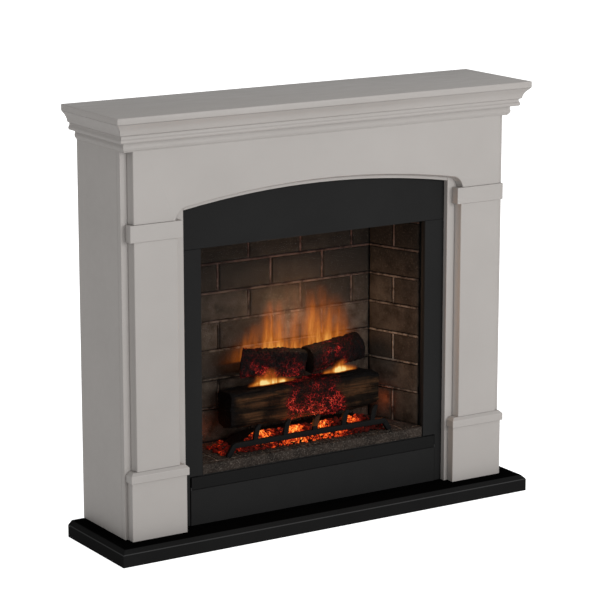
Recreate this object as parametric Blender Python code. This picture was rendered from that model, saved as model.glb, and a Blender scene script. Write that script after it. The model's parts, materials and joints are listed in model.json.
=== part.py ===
"""Electric fireplace: a painted mantel surround around a steel firebox insert with a log set.

Metres, +Z up, +X to the right, the front faces -Y. The origin is at the middle of the base, on the floor.
"""

import math

import bmesh
import bpy
from mathutils import Vector

# ---------------------------------------------------------------- driving dimensions
GAP = 0.0003                      # clearance between touching pieces
BACK_Y = 0.135                    # rear plane of the surround

PLINTH_HALF = 0.560               # hearth plinth, half width
PLINTH_FRONT = -0.135
PLINTH_TOP = 0.040
PLINTH_CHAMFER = 0.010

TOP_Z = 1.010                     # overall height
SHELF_HALF = 0.556
SHELF_FRONT = -0.1325
SHELF_THICK = 0.0152
CORNICE_BOTTOM = 0.925
CORNICE_DEPTH = 0.0445            # projection of shelf and cornice over the header
CORNICE_SIDE = 0.038              # the same over the side panels

SIDE_HALF = 0.518                 # outer face of the side panels
PANEL_THICK = 0.015
LEG_INNER = 0.360                 # half width of the surround's opening
LEG_FRONT = -0.0676
INFILL_FRONT = -0.053             # plane of the black infill panels
INFILL_THICK = 0.009

SHAFT_INNER, SHAFT_OUTER = 0.381, 0.501
RELIEF_FRONT = -0.088             # face of the pilasters and of the arched header
# stepped edge of the pilasters and the header: (how far forward, how far in from the root)
RELIEF_EDGE = ((-0.0712, 0.0), (-0.0790, 0.0042), (-0.0868, 0.0046), (RELIEF_FRONT, 0.0058))
BLOCK_INNER, BLOCK_OUTER, BLOCK_FRONT = 0.3695, 0.5105, -0.090
BLOCK_TOP, CAP_TOP = 0.177, 0.201
BLOCK_CAP_LIP = 0.004
BAND_INNER, BAND_OUTER, BAND_FRONT = 0.3737, 0.5065, -0.0905
BAND_BOTTOM, BAND_TOP = 0.725, 0.764

ARCH_APEX = 0.8182                # underside of the header at its root
RAIL_DROP = 0.0075                # how far the rail behind the header shows below it
ARCH_RADIUS = 2.175
EAR_INNER, EAR_OUTER = 0.358, 0.386

OPENING_HALF = 0.307              # visible firebox opening
OPENING_BOTTOM, OPENING_TOP = 0.155, 0.686
POST_INNER = 0.341
INFILL_LAP = 0.012                # how far the infill reaches behind the legs
FLAP_HALF = 0.338
FLAP_BOTTOM, FLAP_TOP = 0.1253, 0.1547
FLAP_FRONT, FLAP_THICK = -0.056, 0.004
PIVOT_RADIUS = 0.0012

CASING_OUTER, STEEL = 0.3145, 0.002
CASING_FRONT, CASING_BACK, CASING_TOP = -0.0437, 0.128, 0.8555
FLOOR_TOP, CEILING = 0.180, 0.690
BRICK_BACK = 0.108                # front face of the rear brick panel
BRICK_FRONT, BRICK_FRONT_HALF, BRICK_BACK_HALF = -0.030, 0.3035, 0.2553

PRONG_MIDDLE, PRONG_PITCH = 0.013, 0.0815

BLOWER_Y, BLOWER_Z, BLOWER_RADIUS, BLOWER_HALF = -0.014, 0.792, 0.020, 0.120
FLICKER_Y, FLICKER_Z, FLICKER_HALF = 0.030, 0.098, 0.200
SHAFT_RADIUS = 0.003

BUTTON_X, BUTTON_SIZE, BUTTON_TRAVEL = (0.160, 0.195), (0.014, 0.009), 0.0015
KNOB_X, KNOB_RADIUS = 0.245, 0.008
CONTROLS_Z = 0.140

# colour, roughness, metallic
PAINT = ((0.43, 0.41, 0.39), 0.45, 0.0)
BLACK = ((0.018, 0.018, 0.019), 0.5, 0.0)
STEEL_FINISH = ((0.012, 0.012, 0.012), 0.45, 0.6)
ZINC = ((0.55, 0.55, 0.56), 0.35, 1.0)
BRICK = ((0.075, 0.050, 0.038), 0.9, 0.0)
STONE = ((0.085, 0.075, 0.065), 0.9, 0.0)
CAST = ((0.012, 0.012, 0.012), 0.6, 0.4)
CHARRED = ((0.035, 0.022, 0.015), 0.85, 0.0)
EMBER = ((0.80, 0.16, 0.02), 0.8, 0.0)
CLEAR = ((0.30, 0.30, 0.30), 0.1, 0.0)
BOARD = ((0.02, 0.09, 0.04), 0.5, 0.0)
BEARING = ((0.50, 0.36, 0.16), 0.4, 1.0)


# ---------------------------------------------------------------- modelling helpers
def clear_scene():
    for obj in list(bpy.data.objects):
        bpy.data.objects.remove(obj)


def material(name, finish):
    colour, roughness, metallic = finish
    made = bpy.data.materials.new(name)
    made.use_nodes = True
    shader = made.node_tree.nodes["Principled BSDF"]
    shader.inputs["Base Color"].default_value = (*colour, 1.0)
    shader.inputs["Roughness"].default_value = roughness
    shader.inputs["Metallic"].default_value = metallic
    return made


def add_object(name, mesh_builder, finish, origin=(0.0, 0.0, 0.0)):
    """Turns a bmesh in world coordinates into an object whose origin is at the point given."""
    bmesh.ops.recalc_face_normals(mesh_builder, faces=mesh_builder.faces)
    bmesh.ops.translate(mesh_builder, verts=mesh_builder.verts, vec=-Vector(origin))
    mesh = bpy.data.meshes.new(name)
    mesh_builder.to_mesh(mesh)
    mesh_builder.free()
    obj = bpy.data.objects.new(name, mesh)
    obj.location = origin
    bpy.context.scene.collection.objects.link(obj)
    if finish is None:
        obj.hide_render = True
        obj.display_type = "WIRE"
    else:
        mesh.materials.append(material(name, finish))
    return obj


def loft_into(builder, rings):
    """Joins rings of equal length with side faces and closes both ends."""
    loops = [[builder.verts.new(point) for point in ring] for ring in rings]
    count = len(loops[0])
    for lower, upper in zip(loops, loops[1:]):
        for i in range(count):
            j = (i + 1) % count
            builder.faces.new((lower[i], lower[j], upper[j], upper[i]))
    builder.faces.new(loops[0])
    builder.faces.new(loops[-1])


def loft(name, rings, finish, origin=(0.0, 0.0, 0.0)):
    builder = bmesh.new()
    loft_into(builder, rings)
    return add_object(name, builder, finish, origin)


def along(axis, position, outline):
    """Puts a flat outline at a position on an axis. The outline's two numbers are the other axes, in order."""
    if axis == "x":
        return [(position, a, b) for a, b in outline]
    if axis == "y":
        return [(a, position, b) for a, b in outline]
    return [(a, b, position) for a, b in outline]


def prism(name, axis, start, end, outline, finish, origin=(0.0, 0.0, 0.0)):
    return loft(name, [along(axis, start, outline), along(axis, end, outline)], finish, origin)


def rectangle(low, high):
    return [(low[0], low[1]), (high[0], low[1]), (high[0], high[1]), (low[0], high[1])]


def box_rings(low, high):
    outline = rectangle(low[:2], high[:2])
    return [along("z", low[2], outline), along("z", high[2], outline)]


def box(name, low, high, finish, origin=(0.0, 0.0, 0.0)):
    return loft(name, box_rings(low, high), finish, origin)


def boxes(name, corners):
    """One hidden helper made of several separate boxes."""
    builder = bmesh.new()
    for low, high in corners:
        loft_into(builder, box_rings(low, high))
    return add_object(name, builder, None)


def arc(centre, radius, start_deg, end_deg, steps):
    """Points on an arc, both ends included."""
    points = []
    for i in range(steps + 1):
        angle = math.radians(start_deg + (end_deg - start_deg) * i / steps)
        points.append((centre[0] + radius * math.cos(angle), centre[1] + radius * math.sin(angle)))
    return points


def circle(centre, radius, steps):
    return arc(centre, radius, 0.0, 360.0 * (steps - 1) / steps, steps - 1)


def turned(name, axis, centre, stations, finish, steps=20, origin=(0.0, 0.0, 0.0)):
    """A round piece along an axis; stations are (position, radius) pairs."""
    rings = [along(axis, position, circle(centre, radius, steps)) for position, radius in stations]
    return loft(name, rings, finish, origin)


def boolean(obj, helper, operation="DIFFERENCE"):
    modifier = obj.modifiers.new(operation.title(), "BOOLEAN")
    modifier.operation = operation
    modifier.object = helper


def bevel_edges(obj, width, segments=2):
    modifier = obj.modifiers.new("Bevel", "BEVEL")
    modifier.width = width
    modifier.segments = segments
    modifier.limit_method = "ANGLE"


def mirrored(points, side):
    """Outline points given for the right half, reflected to the left when side is -1."""
    return [(side * a, b) for a, b in points]


# ---------------------------------------------------------------- mantel surround
def hearth_plinth():
    rings = []
    for height, inset in ((0.0, 0.0), (PLINTH_TOP - PLINTH_CHAMFER, 0.0), (PLINTH_TOP, PLINTH_CHAMFER)):
        half = PLINTH_HALF - inset
        outline = rectangle((-half, PLINTH_FRONT + inset), (half, BACK_Y))
        rings.append(along("z", height, outline))
    loft("hearth_plinth", rings, BLACK)


def mantel_shelf():
    low = (-SHELF_HALF, SHELF_FRONT, TOP_Z - SHELF_THICK)
    shelf = box("mantel_shelf", low, (SHELF_HALF, BACK_Y, TOP_Z), PAINT)
    bevel_edges(shelf, 0.0015)


def cornice_profile():
    """(inset from the shelf's edge, height) down the moulding: cove, notch, bead, soffit and ovolo."""
    top = TOP_Z - SHELF_THICK - GAP
    profile = [(0.0015, top), (0.0060, 0.9900), (0.0105, 0.9855), (0.0140, 0.9805), (0.0165, 0.9755)]
    profile += [(0.0180, 0.9690), (0.0240, 0.9660), (0.0240, 0.9630)]
    profile += arc((0.0262, 0.9550), 0.0055, 125.0, 235.0, 5)
    profile += [(0.0330, 0.9490), (0.0400, 0.9480)]
    profile += arc((CORNICE_DEPTH - GAP + 0.0045, 0.9375), 0.0100, 150.0, 240.0, 5)
    profile += [(CORNICE_DEPTH - GAP, CORNICE_BOTTOM + 0.0020), (CORNICE_DEPTH - GAP, top)]
    return profile


def cornice():
    profile = cornice_profile()
    side_scale = CORNICE_SIDE / CORNICE_DEPTH
    mitre = 0.5 * GAP

    def corner(inset, side, along_front):
        half = SHELF_HALF - inset * side_scale
        front = SHELF_FRONT + inset
        if along_front:
            return side * (half - mitre), front - mitre
        return side * (half + mitre), front + mitre

    front_rings = []
    for side in (-1, 1):
        corners = [corner(inset, side, True) for inset, _ in profile]
        front_rings.append([(x, y + mitre, z) for (x, y), (_, z) in zip(corners, profile)])
    loft("cornice_front", front_rings, PAINT)
    for side, name in ((-1, "cornice_left"), (1, "cornice_right")):
        start = []
        end = []
        for inset, z in profile:
            x, y = corner(inset, side, False)
            start.append((x - side * mitre, y + mitre, z))
            end.append((x - side * mitre, BACK_Y, z))
        loft(name, [start, end], PAINT)


def arch_line(radius_offset, half, steps):
    """The segmental arch from x = half to x = -half, moved up by an offset."""
    points = []
    for i in range(steps + 1):
        x = half - 2.0 * half * i / steps
        drop = ARCH_RADIUS - math.sqrt(ARCH_RADIUS ** 2 - x ** 2)
        points.append((x, ARCH_APEX + radius_offset - drop))
    return points


def header_outline(inset):
    """The header seen from the front, with its ends and its arch drawn in from the root by an inset."""
    arch = arch_line(inset, EAR_INNER, 20)
    root_radius = EAR_OUTER - EAR_INNER
    centre = (EAR_INNER, arch[0][1] - inset - root_radius)
    bottom = BAND_TOP + GAP
    ear_right = [(x, max(z, bottom)) for x, z in arc(centre, root_radius + inset, 0.0, 90.0, 5)[:-1]]
    ear_left = [(-x, z) for x, z in reversed(ear_right)]
    end = SHAFT_OUTER - inset
    top = TOP_Z - SHELF_THICK - GAP
    return [(end, bottom), *ear_right, *arch, *ear_left, (-end, bottom), (-end, top), (end, top)]


def arched_header():
    rings = [along("y", LEG_FRONT - GAP, header_outline(0.0))]
    rings += [along("y", y, header_outline(inset)) for y, inset in RELIEF_EDGE]
    loft("arched_header", rings, PAINT)


def upper_rail():
    half = LEG_INNER - GAP
    top = TOP_Z - SHELF_THICK - GAP
    outline = [*arch_line(-RAIL_DROP, half, 16), (-half, top), (half, top)]
    prism("upper_rail", "y", LEG_FRONT, INFILL_FRONT - GAP, outline, PAINT)


def legs_and_sides():
    base = PLINTH_TOP + GAP
    top = TOP_Z - SHELF_THICK - GAP
    for side, name in ((-1, "left"), (1, "right")):
        outline = mirrored(rectangle((LEG_INNER, LEG_FRONT), (SIDE_HALF, INFILL_FRONT - GAP)), side)
        prism(f"leg_board_{name}", "z", base, top, outline, PAINT)
        outline = mirrored(rectangle((SIDE_HALF - PANEL_THICK, INFILL_FRONT), (SIDE_HALF, BACK_Y)), side)
        prism(f"side_panel_{name}", "z", base, top, outline, PAINT)
    inner = SIDE_HALF - PANEL_THICK - GAP
    box("top_back_rail", (-inner, 0.117, 0.900), (inner, BACK_Y, top), PAINT)


def pilasters():
    back = LEG_FRONT - GAP
    for side, name in ((-1, "left"), (1, "right")):
        shaft = [(SHAFT_INNER, back)] + [(SHAFT_INNER + inset, y) for y, inset in RELIEF_EDGE]
        shaft += [(SHAFT_OUTER - inset, y) for y, inset in reversed(RELIEF_EDGE)] + [(SHAFT_OUTER, back)]
        prism(f"pilaster_{name}", "z", CAP_TOP + GAP, BAND_BOTTOM - GAP, mirrored(shaft, side), PAINT)
        block = mirrored(rectangle((BLOCK_INNER, BLOCK_FRONT), (BLOCK_OUTER, back)), side)
        prism(f"plinth_block_{name}", "z", PLINTH_TOP + GAP, BLOCK_TOP - GAP, block, PAINT)
        band = mirrored(rectangle((BAND_INNER, BAND_FRONT), (BAND_OUTER, back)), side)
        prism(f"impost_band_{name}", "z", BAND_BOTTOM, BAND_TOP, band, PAINT)
        plinth_cap(side, name, back)


def plinth_cap(side, name, back):
    lip, chamfer = BLOCK_CAP_LIP, 0.007
    rings = []
    for height, inset in ((BLOCK_TOP, 0.0), (CAP_TOP - chamfer, 0.0), (CAP_TOP, chamfer)):
        inner, outer = BLOCK_INNER - lip + inset, BLOCK_OUTER + lip - inset
        outline = rectangle((inner, BLOCK_FRONT - 0.005 + inset), (outer, back))
        rings.append(along("z", height, mirrored(outline, side)))
    loft(f"plinth_cap_{name}", rings, PAINT)


# ---------------------------------------------------------------- black infill and controls
def infill():
    back = INFILL_FRONT + INFILL_THICK
    half = LEG_INNER + INFILL_LAP
    box("infill_header", (-half, INFILL_FRONT, OPENING_TOP + GAP), (half, back, 0.850), BLACK)
    step = OPENING_BOTTOM + 0.001
    for side, name in ((-1, "left"), (1, "right")):
        outline = [(POST_INNER, PLINTH_TOP + GAP), (half, PLINTH_TOP + GAP), (half, OPENING_TOP - GAP)]
        outline += [(OPENING_HALF, OPENING_TOP - GAP), (OPENING_HALF, step), (POST_INNER, step)]
        prism(f"infill_side_{name}", "y", INFILL_FRONT, back, mirrored(outline, side), BLACK)
    low = (-(POST_INNER - 0.0013), FLAP_FRONT + 0.001, PLINTH_TOP + GAP)
    box("lower_fascia", low, (POST_INNER - 0.0013, back - 0.002, 0.1245), BLACK)


def control_flap():
    """Drop-down cover with a rounded bottom edge around its pivot and a pin at each end."""
    axis_y, axis_z = FLAP_FRONT + 0.5 * FLAP_THICK, FLAP_BOTTOM + 0.5 * FLAP_THICK
    steps = 12
    outline = arc((axis_y, axis_z), 0.5 * FLAP_THICK, 180.0, 360.0, steps)
    outline += [(axis_y + 0.5 * FLAP_THICK, FLAP_TOP), (axis_y - 0.5 * FLAP_THICK, FLAP_TOP)]
    pin = [(axis_y + a, axis_z + b) for a, b in pin_outline(len(outline))]
    pin_end = FLAP_HALF + 0.0021
    rings = [along("x", -pin_end, pin), along("x", -FLAP_HALF, pin), along("x", -FLAP_HALF, outline)]
    rings += [along("x", FLAP_HALF, outline), along("x", FLAP_HALF, pin), along("x", pin_end, pin)]
    loft("control_flap", rings, BLACK, origin=(0.0, axis_y, axis_z))
    for side, name in ((-1, "left"), (1, "right")):
        start, end = side * (FLAP_HALF + 0.0005), side * (POST_INNER - 0.0008)
        plate = rectangle((FLAP_FRONT + 0.0002, 0.1248), (-0.0465, 0.1312))
        bracket = prism(f"flap_bracket_{name}", "x", start, end, plate, STEEL_FINISH)
        hole = turned(f"flap_hole_{name}", "x", (axis_y, axis_z),
                      [(start - side * 0.002, PIVOT_RADIUS + 0.0001), (end + side * 0.002, PIVOT_RADIUS + 0.0001)],
                      None, steps=16)
        boolean(bracket, hole)


def pin_outline(count):
    """A small circle with as many points as the flap's outline, starting at the same side."""
    return [(PIVOT_RADIUS * math.cos(math.pi + 2.0 * math.pi * i / count),
             PIVOT_RADIUS * math.sin(math.pi + 2.0 * math.pi * i / count)) for i in range(count)]


def control_strip():
    half = CASING_OUTER - STEEL - GAP
    front, back = CASING_FRONT, CASING_FRONT + 0.0015
    strip = box("control_strip", (-half, front, 0.1263), (half, back, 0.1540), BLACK)
    clearance = 0.0004
    holes = []
    for x in BUTTON_X:
        a, b = 0.5 * BUTTON_SIZE[0] + clearance, 0.5 * BUTTON_SIZE[1] + clearance
        holes.append(((x - a, front - 0.002, CONTROLS_Z - b), (x + a, back + 0.002, CONTROLS_Z + b)))
    boolean(strip, boxes("button_holes", holes))
    shaft_hole = turned("knob_hole", "y", (KNOB_X, CONTROLS_Z),
                        [(front - 0.002, SHAFT_RADIUS + 0.0003), (back + 0.002, SHAFT_RADIUS + 0.0003)], None)
    boolean(strip, shaft_hole)
    for x, name in zip(BUTTON_X, ("flame_button", "heat_button")):
        a, b = 0.5 * BUTTON_SIZE[0], 0.5 * BUTTON_SIZE[1]
        low, high = (x - a, front - 0.0030, CONTROLS_Z - b), (x + a, back + 0.0030, CONTROLS_Z + b)
        box(name, low, high, ZINC, origin=(x, front, CONTROLS_Z))
    thermostat_knob(front)
    board_y = back + 0.0065
    box("control_board", (0.120, board_y, 0.1275), (0.280, board_y + 0.0016, 0.1535), BOARD)


def thermostat_knob(panel_front):
    steps = 32
    grip = []
    for i in range(steps):
        radius = KNOB_RADIUS if i % 4 else KNOB_RADIUS - 0.0006
        angle = 2.0 * math.pi * i / steps
        grip.append((KNOB_X + radius * math.cos(angle), CONTROLS_Z + radius * math.sin(angle)))
    shaft = circle((KNOB_X, CONTROLS_Z), SHAFT_RADIUS, steps)
    face = circle((KNOB_X, CONTROLS_Z), KNOB_RADIUS - 0.0012, steps)
    front, back = panel_front - 0.0068, panel_front - 0.0006
    rings = [along("y", front, face), along("y", front + 0.0008, grip), along("y", back, grip)]
    rings += [along("y", back, shaft), along("y", panel_front + 0.0060, shaft)]
    loft("thermostat_knob", rings, BLACK, origin=(KNOB_X, panel_front, CONTROLS_Z))


# ---------------------------------------------------------------- firebox
def casing():
    inner = CASING_OUTER - STEEL
    base = PLINTH_TOP + GAP
    for side, name in ((-1, "left"), (1, "right")):
        outline = mirrored(rectangle((inner, CASING_FRONT), (CASING_OUTER, CASING_BACK)), side)
        prism(f"casing_side_{name}", "z", base, CASING_TOP, outline, STEEL_FINISH)
    half = inner - GAP
    box("casing_floor", (-half, CASING_FRONT, base), (half, CASING_BACK, base + STEEL), STEEL_FINISH)
    box("casing_top", (-half, CASING_FRONT, CASING_TOP - STEEL), (half, CASING_BACK, CASING_TOP), STEEL_FINISH)
    low = (-half, CASING_BACK - STEEL, base + STEEL + GAP)
    box("casing_back", low, (half, CASING_BACK, CASING_TOP - STEEL - GAP), STEEL_FINISH)


def firebox_lining():
    half = CASING_OUTER - STEEL - GAP
    opening = OPENING_HALF - GAP
    behind = CASING_FRONT + GAP
    slab = [(-opening, -0.050), (opening, -0.050), (opening, behind), (half, behind)]
    slab += [(half, BRICK_BACK + 0.008), (-half, BRICK_BACK + 0.008), (-half, behind), (-opening, behind)]
    prism("hearth_slab", "z", OPENING_BOTTOM, FLOOR_TOP, slab, STONE)
    low, high = FLOOR_TOP + GAP, CEILING - GAP
    box("brick_back", (-half, BRICK_BACK, low), (half, BRICK_BACK + 0.008, high), BRICK)
    behind = BRICK_BACK - GAP
    for side, name in ((-1, "left"), (1, "right")):
        wall = [(BRICK_FRONT_HALF, BRICK_FRONT), (half, BRICK_FRONT), (half, behind), (BRICK_BACK_HALF, behind)]
        prism(f"brick_side_{name}", "z", low, high, mirrored(wall, side), BRICK)
    box("ceiling_baffle", (-half, -0.010, CEILING), (half, BRICK_BACK + 0.008, CEILING + STEEL), STEEL_FINISH)
    grille = box("outlet_grille", (-half, CASING_FRONT + GAP, CEILING), (half, -0.0105, CEILING + STEEL), STEEL_FINISH)
    slots = []
    for i in range(9):
        x = (i - 4) * 0.032
        slots.append(((x - 0.012, -0.037, CEILING - 0.002), (x + 0.012, -0.018, CEILING + STEEL + 0.002)))
    boolean(grille, boxes("grille_slots", slots))


def flame_screen():
    box("flame_screen", (-0.2540, 0.1020, FLOOR_TOP + GAP), (0.2540, 0.1045, 0.640), CLEAR)


def log_ring(x, outline, size=1.0, lift=0.0):
    centre_y = sum(y for y, _ in outline) / len(outline)
    centre_z = sum(z for _, z in outline) / len(outline)
    return [(x, centre_y + (y - centre_y) * size, centre_z + lift + (z - centre_z) * size) for y, z in outline]


def logs():
    split = [(0.026, 0.2145), (0.021, 0.224), (0.020, 0.300), (0.032, 0.3135), (0.072, 0.3190)]
    split += [(0.096, 0.306), (0.098, 0.224), (0.090, 0.2145)]
    rings = [log_ring(-0.184, split, 0.93), log_ring(-0.174, split), log_ring(0.222, split)]
    rings.append(log_ring(0.236, split, 0.93))
    loft("main_log", rings, CHARRED)
    block = [(-0.035, -0.030), (-0.036, 0.028), (-0.027, 0.036), (0.024, 0.036), (0.036, 0.022)]
    block += [(0.031, -0.026), (0.006, -0.036), (-0.026, -0.036)]
    upper_log("upper_log_left", (-0.141, 0.0580, 0.3775), (0.030, 0.0580, 0.3580), block, 1.0, 0.6)
    upper_log("upper_log_right", (0.041, 0.0580, 0.3580), (0.196, 0.0580, 0.3750), circle((0.0, 0.0), 0.0375, 12), 0.95, 0.0)


def upper_log(name, start, end, outline, end_size, slant):
    """A short log between two points, with slightly smaller ends; slant is how obliquely its start is cut."""
    start, end = Vector(start), Vector(end)
    direction = (end - start).normalized()
    across = Vector((0.0, 1.0, 0.0))
    up = direction.cross(across) * -1.0
    rings = []
    for share, size in ((0.0, 0.92), (0.05, 1.0), (0.93, end_size), (1.0, 0.82 * end_size)):
        centre = start.lerp(end, share)
        skew = direction * (slant * (1.0 - share) * size)
        rings.append([centre + skew * a + across * (a * size) + up * (b * size) for a, b in outline])
    loft(name, rings, CHARRED)


def ember_bed_and_grate():
    low = FLOOR_TOP + GAP
    bed = [(-0.018, low), (-0.017, 0.190), (-0.006, 0.206), (0.016, 0.2125), (0.060, 0.2125), (0.072, low)]
    rings = []
    for x, size in ((-0.176, 0.35), (-0.150, 1.0), (0.196, 1.0), (0.222, 0.35)):
        rings.append([(x, 0.020 + (y - 0.020) * (0.5 + 0.5 * size), low + (z - low) * size) for y, z in bed])
    loft("ember_bed", rings, EMBER)
    half, foot = 0.231, 0.024
    bar_bottom, bar_top, tip = 0.1985, 0.2120, 0.250
    bar = [(-half, low), (-half + 0.012, low), (-half + foot, bar_bottom), (half - foot, bar_bottom)]
    bar += [(half - 0.012, low), (half, low), (half - foot + 0.006, bar_top)]
    for i in range(5):
        x = PRONG_MIDDLE + (2 - i) * PRONG_PITCH
        bar += [(x + 0.006, bar_top), (x + 0.009, tip), (x - 0.001, tip), (x - 0.006, bar_top)]
    bar += [(-half + foot - 0.006, bar_top)]
    prism("fire_grate", "y", -0.0325, -0.0225, bar, CAST)


# ---------------------------------------------------------------- heater above the ceiling
def heater():
    low_z, high_z = CEILING + STEEL + 0.001, 0.762
    duct = box("heater_duct", (-0.150, -0.040, low_z), (0.150, -0.012, high_z), ZINC)
    boolean(duct, boxes("duct_bore", [((-0.1485, -0.0385, low_z - 0.01), (0.1485, -0.0135, high_z + 0.01))]))
    comb = [(-0.146, 0.712), (0.146, 0.712)]
    for i in range(18):
        x = 0.146 - i * 0.0168
        comb += [(x, 0.728), (x - 0.003, 0.728), (x - 0.003, 0.716), (x - 0.0105, 0.716)]
    comb = comb[:-1] + [(-0.146, 0.716)]
    prism("heating_element", "y", -0.034, -0.018, comb, BEARING)
    turned("thermal_cutout", "y", (0.105, 0.745), [(-0.0117, 0.008), (-0.0060, 0.008), (-0.0050, 0.006)], BEARING)
    blower()


def blower():
    centre = (BLOWER_Y, BLOWER_Z)
    blades = 14
    wheel = []
    for i in range(blades):
        start = 360.0 * i / blades
        for radius, offset in ((0.010, 0.0), (BLOWER_RADIUS, 10.0), (BLOWER_RADIUS, 13.5), (0.010, 7.0)):
            angle = math.radians(start + offset)
            wheel.append((centre[0] + radius * math.cos(angle), centre[1] + radius * math.sin(angle)))
    shaft = circle(centre, SHAFT_RADIUS, len(wheel))
    rings = [along("x", -BLOWER_HALF - 0.004, shaft), along("x", -BLOWER_HALF, shaft)]
    rings += [along("x", -BLOWER_HALF, wheel), along("x", BLOWER_HALF, wheel)]
    rings += [along("x", BLOWER_HALF, shaft), along("x", BLOWER_HALF + 0.012, shaft)]
    loft("blower_wheel", rings, ZINC, origin=(0.0, *centre))
    outer, inner = BLOWER_RADIUS + 0.0035, BLOWER_RADIUS + 0.0020
    shell = arc(centre, outer, -15.0, 215.0, 20) + list(reversed(arc(centre, inner, -15.0, 215.0, 20)))
    prism("blower_housing", "x", -BLOWER_HALF, BLOWER_HALF, shell, ZINC)
    motor = turned("blower_motor", "x", centre, [(0.1245, 0.018), (0.160, 0.018), (0.166, 0.012)], ZINC)
    bore_radius = SHAFT_RADIUS + 0.0003
    boolean(motor, turned("motor_bore", "x", centre, [(0.120, bore_radius), (0.1335, bore_radius)], None))


# ---------------------------------------------------------------- flame light under the floor
def flicker():
    centre = (FLICKER_Y, FLICKER_Z)
    rod = turned("flicker_rod", "x", centre, [(-FLICKER_HALF - 0.012, SHAFT_RADIUS), (FLICKER_HALF + 0.012, SHAFT_RADIUS)],
                 ZINC, steps=16, origin=(0.0, *centre))
    builder = bmesh.new()
    petals = 9
    for i in range(petals):
        x = -0.176 + i * 0.044
        angle = math.radians(70.0 * i)
        along_petal = Vector((0.0, math.cos(angle), math.sin(angle)))
        across = Vector((0.0, -math.sin(angle), math.cos(angle))) * 0.0005
        middle = Vector((x, *centre))
        ring = []
        for reach, half in ((-0.018, 0.005), (0.0, 0.013), (0.018, 0.005)):
            ring.append(middle + along_petal * reach + Vector((half, 0.0, 0.0)))
        for reach, half in ((0.018, 0.005), (0.0, 0.013), (-0.018, 0.005)):
            ring.append(middle + along_petal * reach - Vector((half, 0.0, 0.0)))
        loft_into(builder, [[p - across for p in ring], [p + across for p in ring]])
    boolean(rod, add_object("flicker_petals", builder, None), "UNION")
    bore_radius = SHAFT_RADIUS + 0.0003
    end = FLICKER_HALF + 0.0045
    motor = turned("flicker_motor", "x", centre, [(-end - 0.030, 0.018), (-end, 0.018)], ZINC)
    boolean(motor, turned("flicker_motor_bore", "x", centre, [(-end - 0.009, bore_radius), (-end + 0.002, bore_radius)], None))
    base = PLINTH_TOP + GAP + STEEL + GAP
    block = [(FLICKER_Y - 0.012, base), (FLICKER_Y + 0.012, base), (FLICKER_Y + 0.008, FLICKER_Z + 0.008)]
    block += [(FLICKER_Y - 0.008, FLICKER_Z + 0.008)]
    bearing = prism("flicker_bearing", "x", end, end + 0.006, block, BEARING)
    boolean(bearing, turned("bearing_bore", "x", centre, [(end - 0.002, bore_radius), (end + 0.008, bore_radius)], None))
    box("led_board", (-0.235, -0.012, 0.060), (0.235, -0.0104, 0.120), BOARD)


def mains_inlet():
    inlet = box("mains_inlet", (0.235, CASING_BACK + GAP, 0.070), (0.263, BACK_Y - 0.0005, 0.092), BLACK)
    boolean(inlet, boxes("inlet_socket", [((0.239, CASING_BACK + 0.002, 0.074), (0.259, BACK_Y + 0.005, 0.088))]))


clear_scene()
hearth_plinth()
mantel_shelf()
cornice()
arched_header()
upper_rail()
legs_and_sides()
pilasters()
infill()
control_flap()
control_strip()
casing()
firebox_lining()
flame_screen()
logs()
ember_bed_and_grate()
heater()
flicker()
mains_inlet()
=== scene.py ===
"""Looks of the electric fireplace: painted surround, black infill, brick firebox, logs, embers and flames.

Metres, in the frame of the CAD model: +Z up, +X to the right, the front faces -Y.
"""

import json
import math
import random

import bmesh
import bpy
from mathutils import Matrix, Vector, noise


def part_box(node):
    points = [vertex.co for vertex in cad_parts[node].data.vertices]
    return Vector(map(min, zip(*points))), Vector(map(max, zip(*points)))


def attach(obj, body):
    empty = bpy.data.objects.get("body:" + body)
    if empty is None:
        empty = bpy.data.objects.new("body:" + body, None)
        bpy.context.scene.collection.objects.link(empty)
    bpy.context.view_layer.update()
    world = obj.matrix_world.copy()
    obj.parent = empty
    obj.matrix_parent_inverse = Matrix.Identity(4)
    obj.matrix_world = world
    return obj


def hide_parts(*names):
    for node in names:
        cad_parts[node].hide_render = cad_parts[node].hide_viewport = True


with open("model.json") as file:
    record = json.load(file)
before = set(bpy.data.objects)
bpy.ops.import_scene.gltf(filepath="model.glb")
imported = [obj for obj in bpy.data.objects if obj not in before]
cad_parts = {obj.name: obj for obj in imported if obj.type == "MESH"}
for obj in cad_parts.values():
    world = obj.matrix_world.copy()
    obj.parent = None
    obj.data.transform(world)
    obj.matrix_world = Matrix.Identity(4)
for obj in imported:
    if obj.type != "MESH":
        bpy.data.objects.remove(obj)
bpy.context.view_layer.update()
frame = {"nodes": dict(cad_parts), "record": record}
NODES = frame["nodes"]
scene = bpy.context.scene

# ---- camera and light
CAMERA_PLACE = (-3.114, -4.93, 1.838)
CAMERA_HEADING = 32.19            # degrees from +Y towards +X
CAMERA_PITCH = 12.73              # degrees below the horizon
CAMERA_LENS = 153.3
BACKGROUND = 1.0                  # white behind the object
AMBIENT = 0.59                    # light from all round
FLOOR_BOUNCE = 0.31               # extra light that the floor gives
BLACK, WHITE = (0.0, 0.0, 0.0), (1.0, 1.0, 1.0)

# ---- firebox measures, from the CAD
SURROUND = "surround"
BACK_LOW, BACK_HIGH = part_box("brick_back")
SIDE_LOW, SIDE_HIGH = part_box("brick_side_right")
SLAB_LOW, SLAB_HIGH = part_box("hearth_slab")
GRATE_LOW, GRATE_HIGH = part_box("fire_grate")
BED_LOW, BED_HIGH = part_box("ember_bed")
LOG_LOW, LOG_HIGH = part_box("main_log")

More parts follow.
